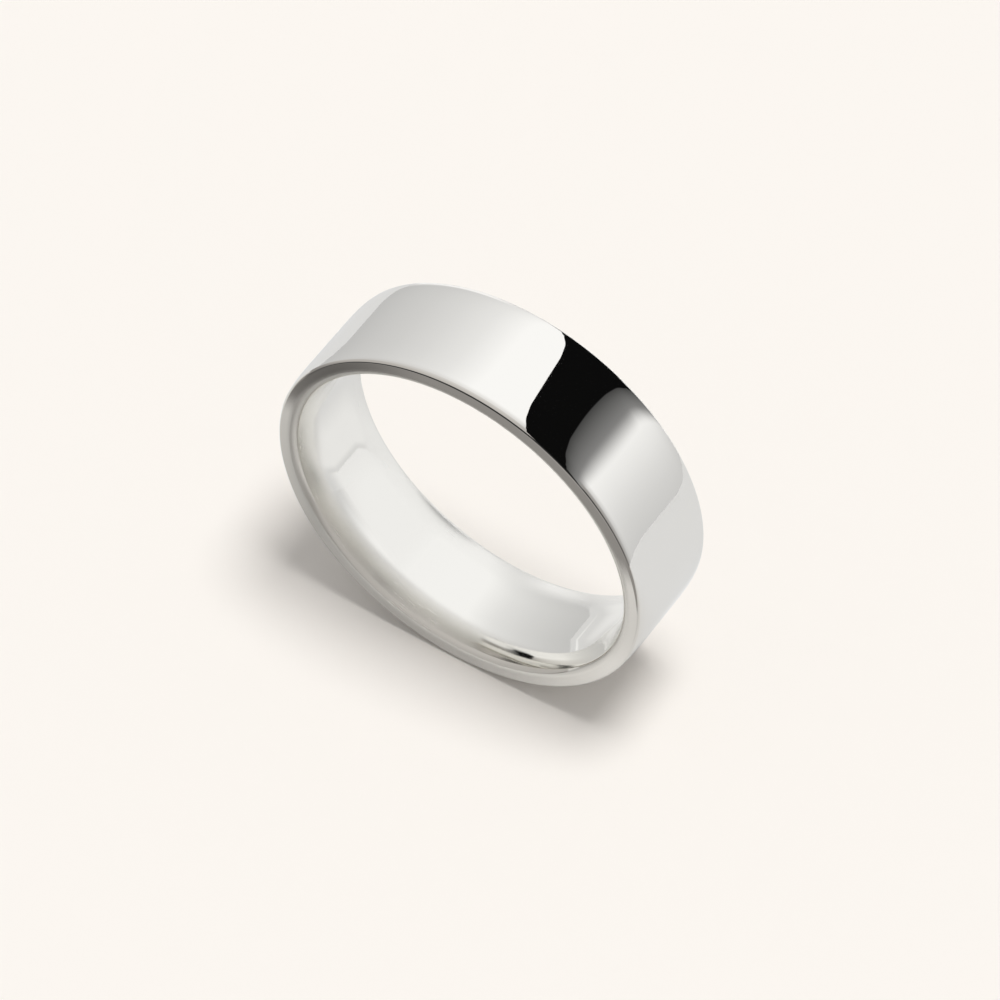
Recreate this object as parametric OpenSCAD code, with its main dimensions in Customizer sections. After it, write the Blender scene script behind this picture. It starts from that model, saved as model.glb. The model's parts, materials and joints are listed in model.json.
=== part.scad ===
// Plain wedding band: one solid ring with a flat polished outside and a comfort-fit inside.
// Lengths are in millimetres. The ring's axis runs along Y, Z is up, and the origin is the
// centre of the bore, so the ring stands on its outside face as a wheel does.

/* [Ring] */
// Inside diameter, measured across the straight land in the middle of the bore
inner_d = 18.5; // [14:0.1:24]
// Width of the band, from one side face to the other
band_w = 6; // [5:0.1:7.5]
// Thickness of the wall in the middle of the band
wall_t = 1.4; // [1.3:0.05:2.4]

/* [Comfort fit] */
// Width of the straight land, the only part of the bore that is a true cylinder
land_w = 1.8; // [1:0.1:3]
// Radius of the curve that eases the bore open from the land towards each side
comfort_r = 6; // [5:0.5:12]
// Radius that rounds the comfort curve into the side face
inner_edge_r = 0.4; // [0.1:0.05:0.6]

/* [Outside] */
// Distance from the side face to where the flat outside starts to ease down
ease_w = 1.4; // [1.2:0.1:1.8]
// Radius of that easing, seen in section
ease_r = 14; // [10:1:30]
// Width of the tighter shoulder between the easing and the side face
shoulder_w = 0.6; // [0.4:0.05:0.8]
// Radius of the tighter shoulder
shoulder_r = 3; // [2:0.1:5]
// Radius that rounds the shoulder into the side face
outer_edge_r = 0.15; // [0.05:0.05:0.3]

/* [Hidden] */

$fn = 180;
bore_r = inner_d / 2;
outer_r = bore_r + wall_t;
half_w = band_w / 2;
margin = 1;

// A section arc is [centre, radius, start, side]. Points are [distance from the ring's axis,
// distance along it], start is the distance along the axis where the arc takes over, and side
// is +1 for an arc of the outside and -1 for an arc of the bore.
comfort = [[bore_r + comfort_r, land_w / 2], comfort_r, land_w / 2, -1];
ease = [[outer_r - ease_r, half_w - ease_w], ease_r, half_w - ease_w, 1];
shoulder = [tangent_centre(ease, half_w - shoulder_w, shoulder_r), shoulder_r, half_w - shoulder_w, 1];

// The point of an arc at a distance along the axis
function on_arc(arc, along) =
    let (rise = along - arc[0][1])
    [arc[0][0] + arc[3] * sqrt(pow(arc[1], 2) - pow(rise, 2)), along];

// Centre of a tighter arc that leaves an arc smoothly at a distance along the axis
function tangent_centre(arc, along, tighter_r) =
    let (join = on_arc(arc, along))
    join + (arc[0] - join) * tighter_r / arc[1];

// Centre of an edge arc that is tangent to an arc from within and to the side face
function edge_centre(arc, edge_r) =
    let (rise = half_w - edge_r - arc[0][1])
    [arc[0][0] + arc[3] * sqrt(pow(arc[1] - edge_r, 2) - pow(rise, 2)), half_w - edge_r];

// What an arc trims off the square section, from its start out past the side face
module arc_trim(arc)
    difference() {
        translate([arc[0][0], arc[2]])
            mirror([arc[3] < 0 ? 1 : 0, 0])
                square([arc[1] + margin, half_w + margin - arc[2]]);
        translate(arc[0]) circle(r = arc[1]);
    }

// What an edge arc trims off the corner that an arc leaves at the side face
module edge_trim(arc, edge_r) {
    centre = edge_centre(arc, edge_r);
    to_arc = (centre - arc[0]) / norm(centre - arc[0]);
    to_side = [0, 1];
    reach = 2 * edge_r;
    translate(centre)
        difference() {
            polygon([[0, 0], to_arc * reach, (to_arc + to_side) * reach, to_side * reach]);
            circle(r = edge_r);
        }
}

// Everything trimmed off the half of the section at positive distances along the axis
module side_trims() {
    arc_trim(comfort);
    edge_trim(comfort, inner_edge_r);
    arc_trim(ease);
    arc_trim(shoulder);
    edge_trim(shoulder, outer_edge_r);
}

// Section of the band, in the plane of the distance from the axis and the distance along it
module section()
    difference() {
        translate([bore_r, -half_w]) square([wall_t, band_w]);
        side_trims();
        mirror([0, 1]) side_trims();
    }

module band()
    color([0.90, 0.90, 0.89])
        rotate([-90, 0, 0])
            rotate_extrude() section();

band();
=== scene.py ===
import json
import math

import bpy
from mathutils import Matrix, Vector

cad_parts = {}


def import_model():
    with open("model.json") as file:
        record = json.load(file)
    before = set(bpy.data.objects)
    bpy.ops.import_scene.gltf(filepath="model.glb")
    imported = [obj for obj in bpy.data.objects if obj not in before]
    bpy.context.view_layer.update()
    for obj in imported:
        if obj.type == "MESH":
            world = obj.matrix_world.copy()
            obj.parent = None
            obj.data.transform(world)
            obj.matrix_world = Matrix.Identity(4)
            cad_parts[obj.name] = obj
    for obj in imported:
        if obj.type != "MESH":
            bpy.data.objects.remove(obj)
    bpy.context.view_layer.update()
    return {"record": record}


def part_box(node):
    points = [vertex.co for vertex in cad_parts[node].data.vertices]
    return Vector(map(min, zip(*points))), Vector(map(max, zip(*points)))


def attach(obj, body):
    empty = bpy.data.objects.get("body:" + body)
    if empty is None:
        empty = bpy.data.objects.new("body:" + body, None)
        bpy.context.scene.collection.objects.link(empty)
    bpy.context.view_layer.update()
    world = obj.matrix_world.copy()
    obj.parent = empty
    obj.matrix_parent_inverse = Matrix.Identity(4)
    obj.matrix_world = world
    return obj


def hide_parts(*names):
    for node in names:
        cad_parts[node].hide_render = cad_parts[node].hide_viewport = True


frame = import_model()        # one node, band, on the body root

MM = 0.001

# The section of the band, as part.scad makes it. The driving sizes come from the frame, and the
# radii that neither the box nor a mount holds are repeated from part.scad.
BORE = next(m for m in frame["record"]["mounts"] if m["name"] == "finger_bore")
BORE_R = BORE["dims"]["r_mm"] * MM
HALF_LAND = BORE["dims"]["length_mm"] * MM / 2
OUTER_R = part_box("band")[1].z
HALF_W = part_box("band")[1].y
COMFORT_R = 6.0 * MM
INNER_EDGE_R = 0.4 * MM
EASE_W = 1.4 * MM
EASE_R = 14.0 * MM
SHOULDER_W = 0.6 * MM
SHOULDER_R = 3.0 * MM
OUTER_EDGE_R = 0.15 * MM

SEGMENTS = 512           # round the ring
FLAT_STEPS = 40          # across half of the flat outside
COMFORT_STEPS = 20       # along each arc of the section
INNER_EDGE_STEPS = 16
OUTER_EDGE_STEPS = 12
SHOULDER_STEPS = 16
EASE_STEPS = 20
WORN_DEPTH = 0.07 * MM   # how far below the flat outside the softened normals reach
WORN_LENGTH = 0.12 * MM
FLOOR_Z = -OUTER_R

# The camera: its direction from the ring, and the point beside the ring's centre that it aims at
CAMERA_AZIMUTH = 33.1
CAMERA_ELEVATION = 51.0
CAMERA_DISTANCE = 27.7 * OUTER_R
CAMERA_LENS = 216.0      # on a 36 mm sensor
AIM_RIGHT = 0.50 * MM
AIM_UP = -0.64 * MM

# The look of the stage
CREAM = (0.973, 0.930, 0.880)
SILVER = (0.955, 0.943, 0.912)
BORE_SILVER = (0.905, 0.895, 0.862)   # the bore is a little duller than the outside
BORE_FROM = (0.95 * MM, 0.55 * MM)    # above the bore's radius: where the bore's look starts, and is full
ROUGHNESS = (0.015, 0.04)
BORE_SATIN = 0.03        # added roughness in the bore, and more on its rounded rims
RIM_SATIN = 0.20
RIM_FROM = (1.3 * MM, 1.9 * MM)       # from the middle of the band: where the rim's satin starts, and is full
GLEAM = (108, 120, 180, 170)          # the near rim stays polished between these degrees round the ring
GLEAM_SIDE = (0.0, -1.0 * MM)         # and only on the near side of the band
HAZE = 0.02              # roughness that the polishing lines add
CLOUD_SCALE = 350.0
LINE_SCALE = 900.0
SWELL_SCALE = 160.0
LINE_STRETCH = 12.0      # polishing lines run round the ring, this much longer than wide
LINE_DEPTH = 0.00001 * MM
SWELL = 0.0012 * MM      # the gentle unevenness that hand polishing leaves
FILL = 0.42              # even light on the floor from all round
KEY = 0.58               # the overhead light's share of the light on open floor
KEY_SPREAD = 22.0
KEY_TILT_X = 10.0
KEY_TILT_Y = 3.0

# The paper that the ring stands on, as the ring reflects it, with painted light and shade. Past its edges the
# ring sees the tent.
PAPER_HALF_X = 52.0 * MM
PAPER_FRONT = -12.3 * MM
PAPER_SOFT = (1.0 * MM, 0.8 * MM)     # half the softness of its side edges, and of its front edge
PAPER_TONE = 222
PAPER_TURN = (-3.0 * MM, 7.0 * MM)    # its front tones change into the one behind over this Y
PAINTED_LIGHT_POOL_TONE = 241          # a painted pool of light on the paper just behind the ring, which only reflections see
PAINTED_LIGHT_POOL_X = ((-8.0 * MM, 0.0), (11.0 * MM, 7.0 * MM))
PAINTED_LIGHT_POOL_Y = (2.0 * MM, 6.0 * MM)
PAINTED_LIGHT_LEFT_TONE = 252          # painted light on the paper close to the ring at its left, which the near outside corner reflects as a white glint
PAINTED_LIGHT_LEFT_X = (-13.0 * MM, -16.0 * MM)
PAINTED_LIGHT_LEFT_Y = ((-6.0 * MM, -3.0 * MM), (15.0 * MM, 12.0 * MM))
PAINTED_LIGHT_LEFT_END = (-25.0 * MM, -22.0 * MM)   # the slanting outer edge of that painted light, where X is this plus the slant below times Y
PAINTED_LIGHT_LEFT_SLANT = 0.5
# Painted light and shade on the paper in front of the ring, which only reflections see, as (X in mm, level)
FRONT_PAINTED_LIGHT_AND_SHADE = ((-38, 216), (-22, 212), (-15, 188), (-11, 169), (-6, 194), (0, 209), (5, 226), (12, 208))
FRONT_FADE = 0.86        # at the very front and the right, the paper's light is cut to this
FRONT_FADE_X = (-3.0 * MM, 2.0 * MM)
FRONT_FADE_Y = (-6.5 * MM, -9.5 * MM)
FRONT_TINT = (1.0, 0.975, 0.94)
SHADE = (-15.3 * MM, -14.8 * MM)      # the middle of a shaded patch ahead of the paper
SHADE_R = 5.2 * MM
SHADE_LEVEL = 0.42       # how much light is left in its middle

# The black card above the ring
CARD_HEIGHT = 18.25 * MM
CARD_LEFT = 6.55 * MM    # where its left edge is at the middle of the band
CARD_SLANT = 0.33        # how far that edge moves to the left for each unit along +Y
CARD_RIGHT = (13.64 * MM, 12.43 * MM)
CARD_ENDS = (-20 * MM, 100 * MM)      # along Y
CARD_BLACK_TO = 10.25 * MM            # its black part's right border bows outward to both ends from here
CARD_BOW_AT = 5.3 * MM
CARD_BOW = (0.29, 1.5 * MM)           # the bow's slope far out, and how round its middle is
CARD_FLARE = 0.35        # past CARD_FLARE_FROM, its soft right edge moves outward for each unit along +Y
CARD_FLARE_FROM = 8.0 * MM
CARD_SOFT = (0.75, 1.55) # where it fades out, in parts of the way from the black to the right edge
CARD_MARGIN = 30.0 * MM  # how far its mesh goes on past that edge, to hold the fade
CARD_TONES = ((0.0, 12), (0.03, 70), (0.3, 98), (0.7, 125), (1.0, 140))   # over the same way
CARD_LEAST = 1.0 * MM    # that way is never shorter than this
CARD_REACH = 27.8 * MM   # only surfaces nearer than this see it, so it doesn't show directly in the bore
CARD_REACH_PAST = 4.0 * MM            # towards its far end that reach is this much more than its Y

# A dark arch standing in front of the ring, which draws the dark line along the near outside corner
ARCH_Y = -9.0 * MM
ARCH_FOOT = -2.0 * MM
ARCH_INSIDE = (4.0 * MM, 17.0 * MM, 12.0 * MM)      # middle, half width and height of its opening
ARCH_OUTSIDE = (18.0 * MM, 34.0 * MM, 26.0 * MM)    # the same of the whole arch
ARCH_POINT = 4 / 3       # 1 is an ellipse, and more is more pointed
ARCH_STEPS = 24
ARCH_TONE = 55
ARCH_REACH = (12.0 * MM, 0.6)         # how near a surface must be to see it, and how that grows with X

# The white card beside and behind the ring
BOUNCE_X = 12.0 * MM
BOUNCE_Y = (7.0 * MM, 40.0 * MM)
BOUNCE_TOP = 22.0 * MM
BOUNCE_FADES = (5.0 * MM, 12.0 * MM)  # how far it fades in from its near edge, and from its top
BOUNCE_TONES = (232, 238)             # at its foot, and from BOUNCE_LIT up
BOUNCE_LIT = -3.0 * MM
BOUNCE_FROM = (14.0 * MM, 18.0 * MM)  # only surfaces farther than this see it

# The light tent. Its parts are given by direction from the ring.
FAR_LEFT_TONE = 250      # the tent low down at the back, at the left
FAR_LEFT_Y = (0.66, 0.73)             # less FAR_LEFT_TILT of the direction's Z
FAR_LEFT_TILT = 0.18
FAR_LEFT_X = (-0.35, -0.55)
AHEAD_TINT = (1.0, 0.955, 0.91)       # the room ahead of the ring is a little warmer than the tent
AHEAD_TURN = (0.38, 0.12)             # the tent changes into it over this Y
AHEAD_LEFT = (178, 192)  # its level at the left, from AHEAD_LEFT_Z[0] up to AHEAD_LEFT_Z[1]
AHEAD_LEFT_Z = (0.2, 0.9)
AHEAD_RIGHT = (138, 180)              # its level at the right, by Y
AHEAD_RIGHT_Y = (0.12, -0.15)
AHEAD_ACROSS = (0.0, 0.8)             # left changes into right over this X
AHEAD_LOW = 138
AHEAD_LOW_Z = (-0.35, 0.05)

# Brightness of the light tent round the ring's axis: (degrees from straight up towards +X, sRGB level)
TENT = ((-180, 200), (-112, 190), (-90, 200), (-74, 206), (-54, 216), (-34, 229), (-15, 249), (6, 249),
        (57, 246), (66, 240), (76, 230), (86, 219), (96, 210), (110, 201), (180, 200))


# ---------------------------------------------------------------- the band's mesh

def arc(centre, radius, start, end, steps):
    """Points and outward normals of a section arc; angles are from the radial axis towards Y."""
    turns = [math.radians(start + (end - start) * i / steps) for i in range(steps + 1)]
    return [((centre[0] + radius * math.cos(t), centre[1] + radius * math.sin(t)),
             (math.cos(t), math.sin(t))) for t in turns]


def edge_blend(large_c, large_r, edge_r, sign):
    """Centre of an edge arc inside a large arc and tangent to the side face, and where the large arc ends."""
    along = HALF_W - edge_r - large_c[1]
    across = math.sqrt((large_r - edge_r) ** 2 - along ** 2)
    return (large_c[0] + sign * across, HALF_W - edge_r), math.degrees(math.atan2(along, sign * across))


def half_section():
    """Half of the band's section, from the middle of the bore round to the middle of the outside."""
    comfort_c = (BORE_R + COMFORT_R, HALF_LAND)
    ease_c = (OUTER_R - EASE_R, HALF_W - EASE_W)
    ease_end = math.degrees(math.asin((EASE_W - SHOULDER_W) / EASE_R))
    turn = math.radians(ease_end)
    flat = [(HALF_W - EASE_W) * (1 - i / FLAT_STEPS) for i in range(1, FLAT_STEPS + 1)]
    apart = EASE_R - SHOULDER_R
    shoulder_c = (ease_c[0] + apart * math.cos(turn), ease_c[1] + apart * math.sin(turn))
    inner_c, comfort_end = edge_blend(comfort_c, COMFORT_R, INNER_EDGE_R, -1)
    outer_c, shoulder_end = edge_blend(shoulder_c, SHOULDER_R, OUTER_EDGE_R, 1)
    return ([((BORE_R, 0.0), (-1.0, 0.0))]
            + arc(comfort_c, COMFORT_R, 180, comfort_end, COMFORT_STEPS)
            + arc(inner_c, INNER_EDGE_R, comfort_end, 90, INNER_EDGE_STEPS)[1:]
            + arc(outer_c, OUTER_EDGE_R, 90, shoulder_end, OUTER_EDGE_STEPS)
            + arc(shoulder_c, SHOULDER_R, shoulder_end, ease_end, SHOULDER_STEPS)[1:]
            + arc(ease_c, EASE_R, ease_end, 0, EASE_STEPS)[1:]
            + [((OUTER_R, y), (1.0, 0.0)) for y in flat])


def soften(section):
    """Evens out how fast the normals of the outside turn, as polishing does where two arcs meet."""
    def angle(normal):
        return math.atan2(normal[1], normal[0])

    softened = []
    for (r, y), normal in section:
        if r < OUTER_R - WORN_DEPTH:
            softened.append(((r, y), normal))
            continue
        near = [(math.exp(-((y - q) / WORN_LENGTH) ** 2), angle(m)) for (p, q), m in section
                if p >= OUTER_R - WORN_DEPTH and abs(y - q) < 3 * WORN_LENGTH]
        turn = sum(w * a for w, a in near) / sum(w for w, _ in near)
        softened.append(((r, y), (math.cos(turn), math.sin(turn))))
    return softened


def lathe_ring(name):
    """The whole band, turned about Y, with exact normals so that its reflections are clean."""
    half = half_section()
    other = [((r, -y), (nr, -ny)) for (r, y), (nr, ny) in half[-2:0:-1]]
    section = soften(half + other)
    count = len(section)
    verts, normals, faces = [], [], []
    for i in range(SEGMENTS):
        turn = 2 * math.pi * i / SEGMENTS
        s, c = math.sin(turn), math.cos(turn)
        verts += [(r * s, y, r * c) for (r, y), _ in section]
        normals += [(nr * s, ny, nr * c) for _, (nr, ny) in section]
        here, there = i * count, (i + 1) % SEGMENTS * count
        for j in range(count):
            k = (j + 1) % count
            faces.append((here + j, here + k, there + k, there + j))
    mesh = bpy.data.meshes.new(name)
    mesh.from_pydata(verts, [], faces)
    mesh.polygons.foreach_set("use_smooth", [True] * len(faces))
    mesh.normals_split_custom_set_from_vertices(normals)
    mesh.update()
    ring = bpy.data.objects.new(name, mesh)
    bpy.context.collection.objects.link(ring)
    return ring


# ---------------------------------------------------------------- materials

class Nodes:
    """A short way to build a node tree."""

    def __init__(self, tree):
        self.tree = tree
        tree.nodes.clear()

    def add(self, kind, inputs=None, **settings):
        node = self.tree.nodes.new(kind)
        for key, value in settings.items():
            setattr(node, key, value)
        for key, value in (inputs or {}).items():
            if isinstance(value, bpy.types.NodeSocket):
                self.tree.links.new(value, node.inputs[key])
            else:
                node.inputs[key].default_value = value
        return node

    def math(self, operation, a, b=0.0, clamp=False):
        return self.add("ShaderNodeMath", {0: a, 1: b}, operation=operation, use_clamp=clamp).outputs[0]

    def remap(self, value, low, high, to_low=0.0, to_high=1.0, smooth=True):
        kind = "SMOOTHSTEP" if smooth else "LINEAR"
        return self.add("ShaderNodeMapRange", {"Value": value, "From Min": low, "From Max": high,
                                               "To Min": to_low, "To Max": to_high},
                        interpolation_type=kind).outputs["Result"]

    def grey(self, level):
        return self.add("ShaderNodeCombineColor", {0: level, 1: level, 2: level}).outputs[0]

    def mix(self, factor, a, b, colour=False, blend="MIX"):
        """Mixes two numbers, or two colours, by a factor."""
        first, out = (6, 2) if colour else (2, 0)
        kind = "RGBA" if colour else "FLOAT"
        node = self.add("ShaderNodeMix", {0: factor}, data_type=kind, blend_type=blend)
        for socket, value in ((node.inputs[first], a), (node.inputs[first + 1], b)):
            if isinstance(value, bpy.types.NodeSocket):
                self.tree.links.new(value, socket)
            else:
                socket.default_value = value
        return node.outputs[out]

    def ramp(self, value, stops):
        """A colour ramp over stops of (place, grey level)."""
        node = self.add("ShaderNodeValToRGB", {"Fac": value})
        elements = node.color_ramp.elements
        while len(elements) < len(stops):
            elements.new(0.5)
        for element, (place, level) in zip(elements, stops):
            element.position = place
            element.color = (level, level, level, 1)
        return node.outputs["Color"]


def linear(level):
    """Linear light of an sRGB level from 0 to 255."""
    v = level / 255
    return v / 12.92 if v <= 0.04045 else ((v + 0.055) / 1.055) ** 2.4


def polished_silver():
    mat = bpy.data.materials.new("polished_silver")
    mat.use_nodes = True
    n = Nodes(mat.node_tree)
    place = n.add("ShaderNodeTexCoord").outputs["Object"]
    x, y, z = n.add("ShaderNodeSeparateXYZ", {0: place}).outputs
    radius = n.math("SQRT", n.math("ADD", n.math("MULTIPLY", x, x), n.math("MULTIPLY", z, z)))
    deep = n.remap(radius, BORE_R + BORE_FROM[0], BORE_R + BORE_FROM[1])
    rim = n.math("MULTIPLY", deep, n.remap(n.math("ABSOLUTE", y), *RIM_FROM))
    around = n.math("ARCTAN2", x, z)
    low, full, high, fade = (math.radians(turn) for turn in GLEAM)
    gleam = n.math("MULTIPLY", n.remap(around, low, full), n.remap(around, high, fade))
    gleam = n.math("MULTIPLY", gleam, n.remap(y, *GLEAM_SIDE))
    rim = n.math("MULTIPLY", rim, n.math("SUBTRACT", 1.0, gleam))
    cloud = n.add("ShaderNodeTexNoise", {"Vector": place, "Scale": CLOUD_SCALE, "Detail": 4.0}).outputs["Fac"]
    worn = n.math("ADD", n.math("MULTIPLY", deep, BORE_SATIN), n.math("MULTIPLY", rim, RIM_SATIN))
    turn = n.math("MULTIPLY", around, BORE_R)
    sweep = n.add("ShaderNodeCombineXYZ", {0: turn, 1: n.math("MULTIPLY", y, LINE_STRETCH),
                                           2: n.math("MULTIPLY", radius, LINE_STRETCH)}).outputs[0]
    lines = n.add("ShaderNodeTexNoise", {"Vector": sweep, "Scale": LINE_SCALE, "Detail": 3.0}).outputs["Fac"]
    haze = n.math("MULTIPLY", n.remap(lines, 0.55, 0.8), HAZE)
    worn = n.math("ADD", worn, haze)
    roughness = n.math("ADD", n.remap(cloud, 0.3, 0.7, *ROUGHNESS), worn)
    swell = n.add("ShaderNodeTexNoise", {"Vector": place, "Scale": SWELL_SCALE, "Detail": 1.0}).outputs["Fac"]
    height = n.math("ADD", n.math("MULTIPLY", swell, SWELL), n.math("MULTIPLY", lines, LINE_DEPTH))
    bump = n.add("ShaderNodeBump", {"Height": height, "Strength": 1.0, "Distance": 1.0}).outputs[0]
    colour = n.mix(deep, (*SILVER, 1), (*BORE_SILVER, 1), colour=True)
    shader = n.add("ShaderNodeBsdfPrincipled", {"Base Color": colour, "Metallic": 1.0, "Roughness": roughness,
                                                "Normal": bump})
    n.add("ShaderNodeOutputMaterial", {"Surface": shader.outputs[0]})
    return mat


def floor_material():
    """Cream paper. Reflections see it as pale grey with painted light and shade on it, and see nothing of it
    past its edges.
    """
    mat = bpy.data.materials.new("floor_cream_and_painted_light")
    mat.use_nodes = True
    n = Nodes(mat.node_tree)
    place = n.add("ShaderNodeTexCoord").outputs["Object"]
    x, y, z = n.add("ShaderNodeSeparateXYZ", {0: place}).outputs
    glossy = n.add("ShaderNodeLightPath").outputs["Is Glossy Ray"]
    side, front = PAPER_SOFT
    inside = n.math("MULTIPLY", n.remap(n.math("ABSOLUTE", x), PAPER_HALF_X + side, PAPER_HALF_X - side),
                    n.remap(y, PAPER_FRONT - front, PAPER_FRONT + front))
    # a painted pool of light on the paper just behind the ring
    across = n.math("MULTIPLY", n.remap(x, *PAINTED_LIGHT_POOL_X[0]), n.remap(x, *PAINTED_LIGHT_POOL_X[1]))
    painted_light_pool = n.math("MULTIPLY", across, n.remap(y, *PAINTED_LIGHT_POOL_Y))
    behind = n.mix(painted_light_pool, linear(PAPER_TONE), linear(PAINTED_LIGHT_POOL_TONE))
    # painted light and shade on the paper ahead of the ring
    ends = FRONT_PAINTED_LIGHT_AND_SHADE[0][0] * MM, FRONT_PAINTED_LIGHT_AND_SHADE[-1][0] * MM
    stops = [((at * MM - ends[0]) / (ends[1] - ends[0]), linear(level)) for at, level in FRONT_PAINTED_LIGHT_AND_SHADE]
    ahead = n.ramp(n.remap(x, *ends, smooth=False), stops)
    ahead = n.mix(1.0, ahead, (*FRONT_TINT, 1), colour=True, blend="MULTIPLY")
    fade = n.math("MULTIPLY", n.remap(y, *FRONT_FADE_Y), n.remap(x, *FRONT_FADE_X))
    kept = n.math("SUBTRACT", 1.0, n.math("MULTIPLY", fade, 1 - FRONT_FADE))
    ahead = n.mix(1.0, ahead, n.grey(kept), colour=True, blend="MULTIPLY")
    tone = n.mix(n.remap(y, *PAPER_TURN), ahead, n.grey(behind), colour=True)
    # painted light on the paper close to the ring at its left
    slant = n.math("SUBTRACT", x, n.math("MULTIPLY", y, PAINTED_LIGHT_LEFT_SLANT))
    painted_light_left = n.math("MULTIPLY", n.remap(slant, *PAINTED_LIGHT_LEFT_END), n.remap(x, *PAINTED_LIGHT_LEFT_X))
    along = n.math("MULTIPLY", n.remap(y, *PAINTED_LIGHT_LEFT_Y[0]), n.remap(y, *PAINTED_LIGHT_LEFT_Y[1]))
    painted_light_left = n.math("MULTIPLY", painted_light_left, along)
    left = linear(PAINTED_LIGHT_LEFT_TONE)
    tone = n.mix(painted_light_left, tone, (left, left, left, 1), colour=True)
    colour = n.mix(glossy, (*CREAM, 1), tone, colour=True)
    paper = n.add("ShaderNodeBsdfDiffuse", {"Color": colour})
    from_shade = n.add("ShaderNodeVectorMath", {0: place, 1: (*SHADE, 0)},
                       operation="DISTANCE").outputs["Value"]
    shade = n.remap(from_shade, 0.0, SHADE_R, SHADE_LEVEL, 1.0)
    clear = n.add("ShaderNodeBsdfTransparent", {"Color": n.grey(shade)})
    hidden = n.math("MULTIPLY", glossy, n.math("SUBTRACT", 1.0, inside))
    shader = n.add("ShaderNodeMixShader", {0: hidden, 1: paper.outputs[0], 2: clear.outputs[0]})
    n.add("ShaderNodeOutputMaterial", {"Surface": shader.outputs[0]})
    return mat


# ---------------------------------------------------------------- the studio

def floor():
    bpy.ops.mesh.primitive_plane_add(size=4.0, location=(0, 0, FLOOR_Z))
    plane = bpy.context.object
    plane.name = "floor"
    plane.data.materials.append(floor_material())


def world():
    """What the ring sees of the studio, the cream behind everything and the soft fill on the floor."""
    w = bpy.data.worlds.new("studio")
    w.use_nodes = True
    bpy.context.scene.world = w
    n = Nodes(w.node_tree)
    path = n.add("ShaderNodeLightPath")
    direction = n.add("ShaderNodeTexCoord").outputs["Generated"]
    x, y, z = n.add("ShaderNodeSeparateXYZ", {0: direction}).outputs
    turn = n.math("ARCTAN2", x, z)
    place = n.remap(turn, -math.pi, math.pi, 0.0, 1.0, smooth=False)
    tent = n.ramp(place, [(0.5 + deg / 360, linear(level) / SILVER[0]) for deg, level in TENT])
    low = n.math("SUBTRACT", y, n.math("MULTIPLY", z, FAR_LEFT_TILT))
    far_left = n.math("MULTIPLY", n.remap(low, *FAR_LEFT_Y), n.remap(x, *FAR_LEFT_X))
    tent = n.mix(far_left, tent, n.grey(linear(FAR_LEFT_TONE) / SILVER[0]), colour=True)
    left = n.remap(z, *AHEAD_LEFT_Z, *(linear(level) for level in AHEAD_LEFT))
    right = n.remap(y, *AHEAD_RIGHT_Y, *(linear(level) for level in AHEAD_RIGHT))
    above = n.mix(n.remap(x, *AHEAD_ACROSS), left, right)
    ahead = n.mix(n.remap(z, *AHEAD_LOW_Z), linear(AHEAD_LOW), above)
    ahead = n.grey(n.math("DIVIDE", ahead, SILVER[0]))
    ahead = n.mix(1.0, ahead, (*AHEAD_TINT, 1), colour=True, blend="MULTIPLY")
    tent = n.mix(n.remap(y, *AHEAD_TURN), tent, ahead, colour=True)
    fill = n.mix(path.outputs["Is Glossy Ray"], (FILL, FILL, FILL, 1), tent, colour=True)
    seen = n.mix(path.outputs["Is Camera Ray"], fill, (*CREAM, 1), colour=True)
    background = n.add("ShaderNodeBackground", {"Color": seen, "Strength": 1.0})
    n.add("ShaderNodeOutputWorld", {"Surface": background.outputs[0]})


def key_light():
    light = bpy.data.lights.new("key", "SUN")
    towards = Vector((math.tan(math.radians(KEY_TILT_X)), math.tan(math.radians(KEY_TILT_Y)), 1))
    light.energy = KEY * math.pi * towards.length
    light.angle = math.radians(KEY_SPREAD)
    lamp = bpy.data.objects.new("key", light)
    lamp.rotation_euler = towards.to_track_quat("Z", "Y").to_euler()
    lamp.visible_glossy = False
    bpy.context.collection.objects.link(lamp)


def card():
    """The black card above the ring, seen only by near surfaces: black, then grey to its soft right edge."""
    left, right = Vector((CARD_LEFT, 0, CARD_HEIGHT)), Vector((CARD_RIGHT[0], 0, CARD_RIGHT[1]))
    along = (right - left).normalized()
    y_low, y_high = CARD_ENDS

    def left_at(y):
        return left - along * y * CARD_SLANT + Vector((0, y, 0))

    outer = right + along * CARD_MARGIN
    corners = [left_at(y_low), outer + Vector((0, y_low, 0)), outer + Vector((0, y_high, 0)), left_at(y_high)]
    n = only_in_reflections("card", corners, [(0, 1, 2, 3)])
    place = n.add("ShaderNodeTexCoord").outputs["Object"]
    x, y, _ = n.add("ShaderNodeSeparateXYZ", {0: place}).outputs
    off = n.math("SUBTRACT", y, CARD_BOW_AT)
    bow = n.math("SQRT", n.math("ADD", n.math("MULTIPLY", off, off), CARD_BOW[1] ** 2))
    bow = n.math("MULTIPLY", n.math("SUBTRACT", bow, CARD_BOW[1]), CARD_BOW[0])
    flare = n.math("MULTIPLY", n.math("MAXIMUM", n.math("SUBTRACT", y, CARD_FLARE_FROM), 0.0), CARD_FLARE)
    black_to = n.math("ADD", bow, CARD_BLACK_TO)
    width = n.math("MAXIMUM", n.math("SUBTRACT", n.math("ADD", flare, right.x), black_to), CARD_LEAST)
    across = n.math("DIVIDE", n.math("SUBTRACT", x, black_to), width)
    tone = n.ramp(across, [(at, linear(level)) for at, level in CARD_TONES])
    length = n.add("ShaderNodeLightPath").outputs["Ray Length"]
    reach = n.math("MAXIMUM", n.math("ADD", y, CARD_REACH_PAST), CARD_REACH)
    far = n.math("MAXIMUM", n.math("GREATER_THAN", length, reach), n.remap(across, *CARD_SOFT))
    glow(n, tone, far)


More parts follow.
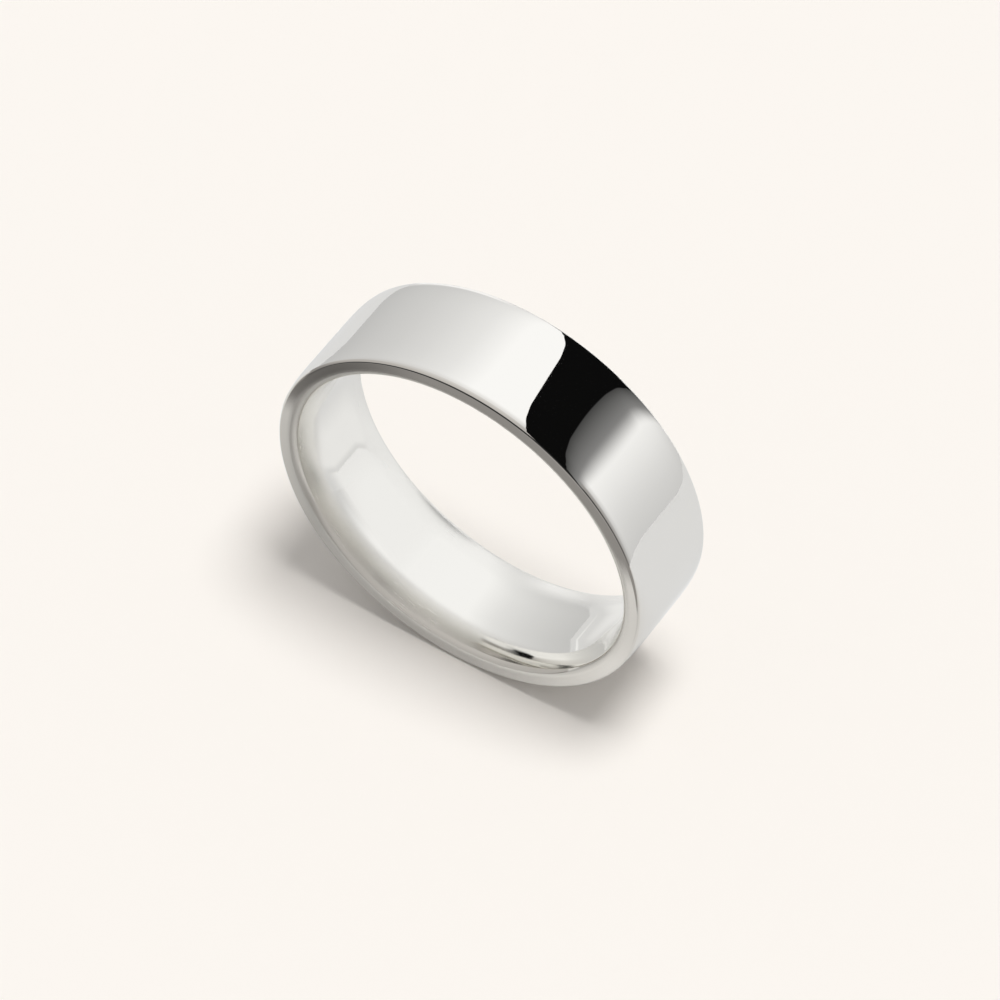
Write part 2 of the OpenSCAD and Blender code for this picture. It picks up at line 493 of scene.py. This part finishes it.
def arch():
    """A dark arch in front of the ring, seen only in its near reflections."""
    def curve(middle, half_x, height):
        turns = [math.pi * i / ARCH_STEPS for i in range(ARCH_STEPS + 1)]
        return [(middle + math.copysign(abs(math.cos(t)) ** ARCH_POINT, math.cos(t)) * half_x,
                 ARCH_FOOT + math.sin(t) ** ARCH_POINT * height) for t in turns]

    inside, outside = curve(*ARCH_INSIDE), curve(*ARCH_OUTSIDE)
    count = len(inside)
    n = only_in_reflections("arch", [(x, ARCH_Y, z) for x, z in inside + outside],
                            [(i, i + 1, count + i + 1, count + i) for i in range(count - 1)])
    x = n.add("ShaderNodeSeparateXYZ", {0: n.add("ShaderNodeTexCoord").outputs["Object"]}).outputs[0]
    level = linear(ARCH_TONE)
    length = n.add("ShaderNodeLightPath").outputs["Ray Length"]
    reach = n.math("ADD", ARCH_REACH[0], n.math("MULTIPLY", n.math("MAXIMUM", x, 0.0), ARCH_REACH[1]))
    glow(n, (level, level, level, 1), n.math("GREATER_THAN", length, reach))


def bounce():
    """A white card beside and behind the ring, which lights the left of the bore."""
    y_low, y_high = BOUNCE_Y
    corners = [(BOUNCE_X, y_low, FLOOR_Z), (BOUNCE_X, y_high, FLOOR_Z),
               (BOUNCE_X, y_high, BOUNCE_TOP), (BOUNCE_X, y_low, BOUNCE_TOP)]
    n = only_in_reflections("bounce", corners, [(0, 1, 2, 3)])
    place = n.add("ShaderNodeTexCoord").outputs["Object"]
    _, along, up = n.add("ShaderNodeSeparateXYZ", {0: place}).outputs
    low, high = (linear(level) / BORE_SILVER[0] for level in BOUNCE_TONES)
    level = n.remap(up, FLOOR_Z, BOUNCE_LIT, low, high)
    solid = n.math("MULTIPLY", n.remap(along, y_low, y_low + BOUNCE_FADES[0]),
                   n.remap(up, BOUNCE_TOP, BOUNCE_TOP - BOUNCE_FADES[1]))
    length = n.add("ShaderNodeLightPath").outputs["Ray Length"]
    solid = n.math("MULTIPLY", solid, n.remap(length, *BOUNCE_FROM))
    glow(n, n.grey(level), n.math("SUBTRACT", 1.0, solid))


def only_in_reflections(name, corners, faces):
    """A board on the stage that only reflections see. Returns the nodes of its material, still empty."""
    mesh = bpy.data.meshes.new(name)
    mesh.from_pydata(corners, [], faces)
    board = bpy.data.objects.new(name, mesh)
    bpy.context.collection.objects.link(board)
    board.visible_camera = False
    board.visible_diffuse = False
    board.visible_shadow = False
    board.visible_transmission = False
    board.visible_volume_scatter = False
    mat = bpy.data.materials.new(name)
    mat.use_nodes = True
    mesh.materials.append(mat)
    return Nodes(mat.node_tree)


def glow(n, tone, clearness):
    """A board's material: it glows in its tone, and is clear where clearness is 1."""
    light = n.add("ShaderNodeEmission", {"Color": tone, "Strength": 1.0})
    clear = n.add("ShaderNodeBsdfTransparent")
    shader = n.add("ShaderNodeMixShader", {0: clearness, 1: light.outputs[0], 2: clear.outputs[0]})
    n.add("ShaderNodeOutputMaterial", {"Surface": shader.outputs[0]})


def camera():
    a, e = math.radians(CAMERA_AZIMUTH), math.radians(CAMERA_ELEVATION)
    back = Vector((math.sin(a) * math.cos(e), -math.cos(a) * math.cos(e), math.sin(e)))
    right = Vector((math.cos(a), math.sin(a), 0))
    up = back.cross(right)
    data = bpy.data.cameras.new("camera")
    data.lens = CAMERA_LENS
    data.clip_start = 0.01
    cam = bpy.data.objects.new("camera", data)
    cam.location = right * AIM_RIGHT + up * AIM_UP + back * CAMERA_DISTANCE
    cam.rotation_euler = back.to_track_quat("Z", "Y").to_euler()
    bpy.context.collection.objects.link(cam)
    bpy.context.scene.camera = cam


# ---------------------------------------------------------------- the scene

ring = lathe_ring("band_polished")
ring.data.materials.append(polished_silver())
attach(ring, "root")
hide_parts("band")

camera()
floor()
world()
key_light()
card()
arch()
bounce()
bpy.context.scene.view_settings.view_transform = "Standard"
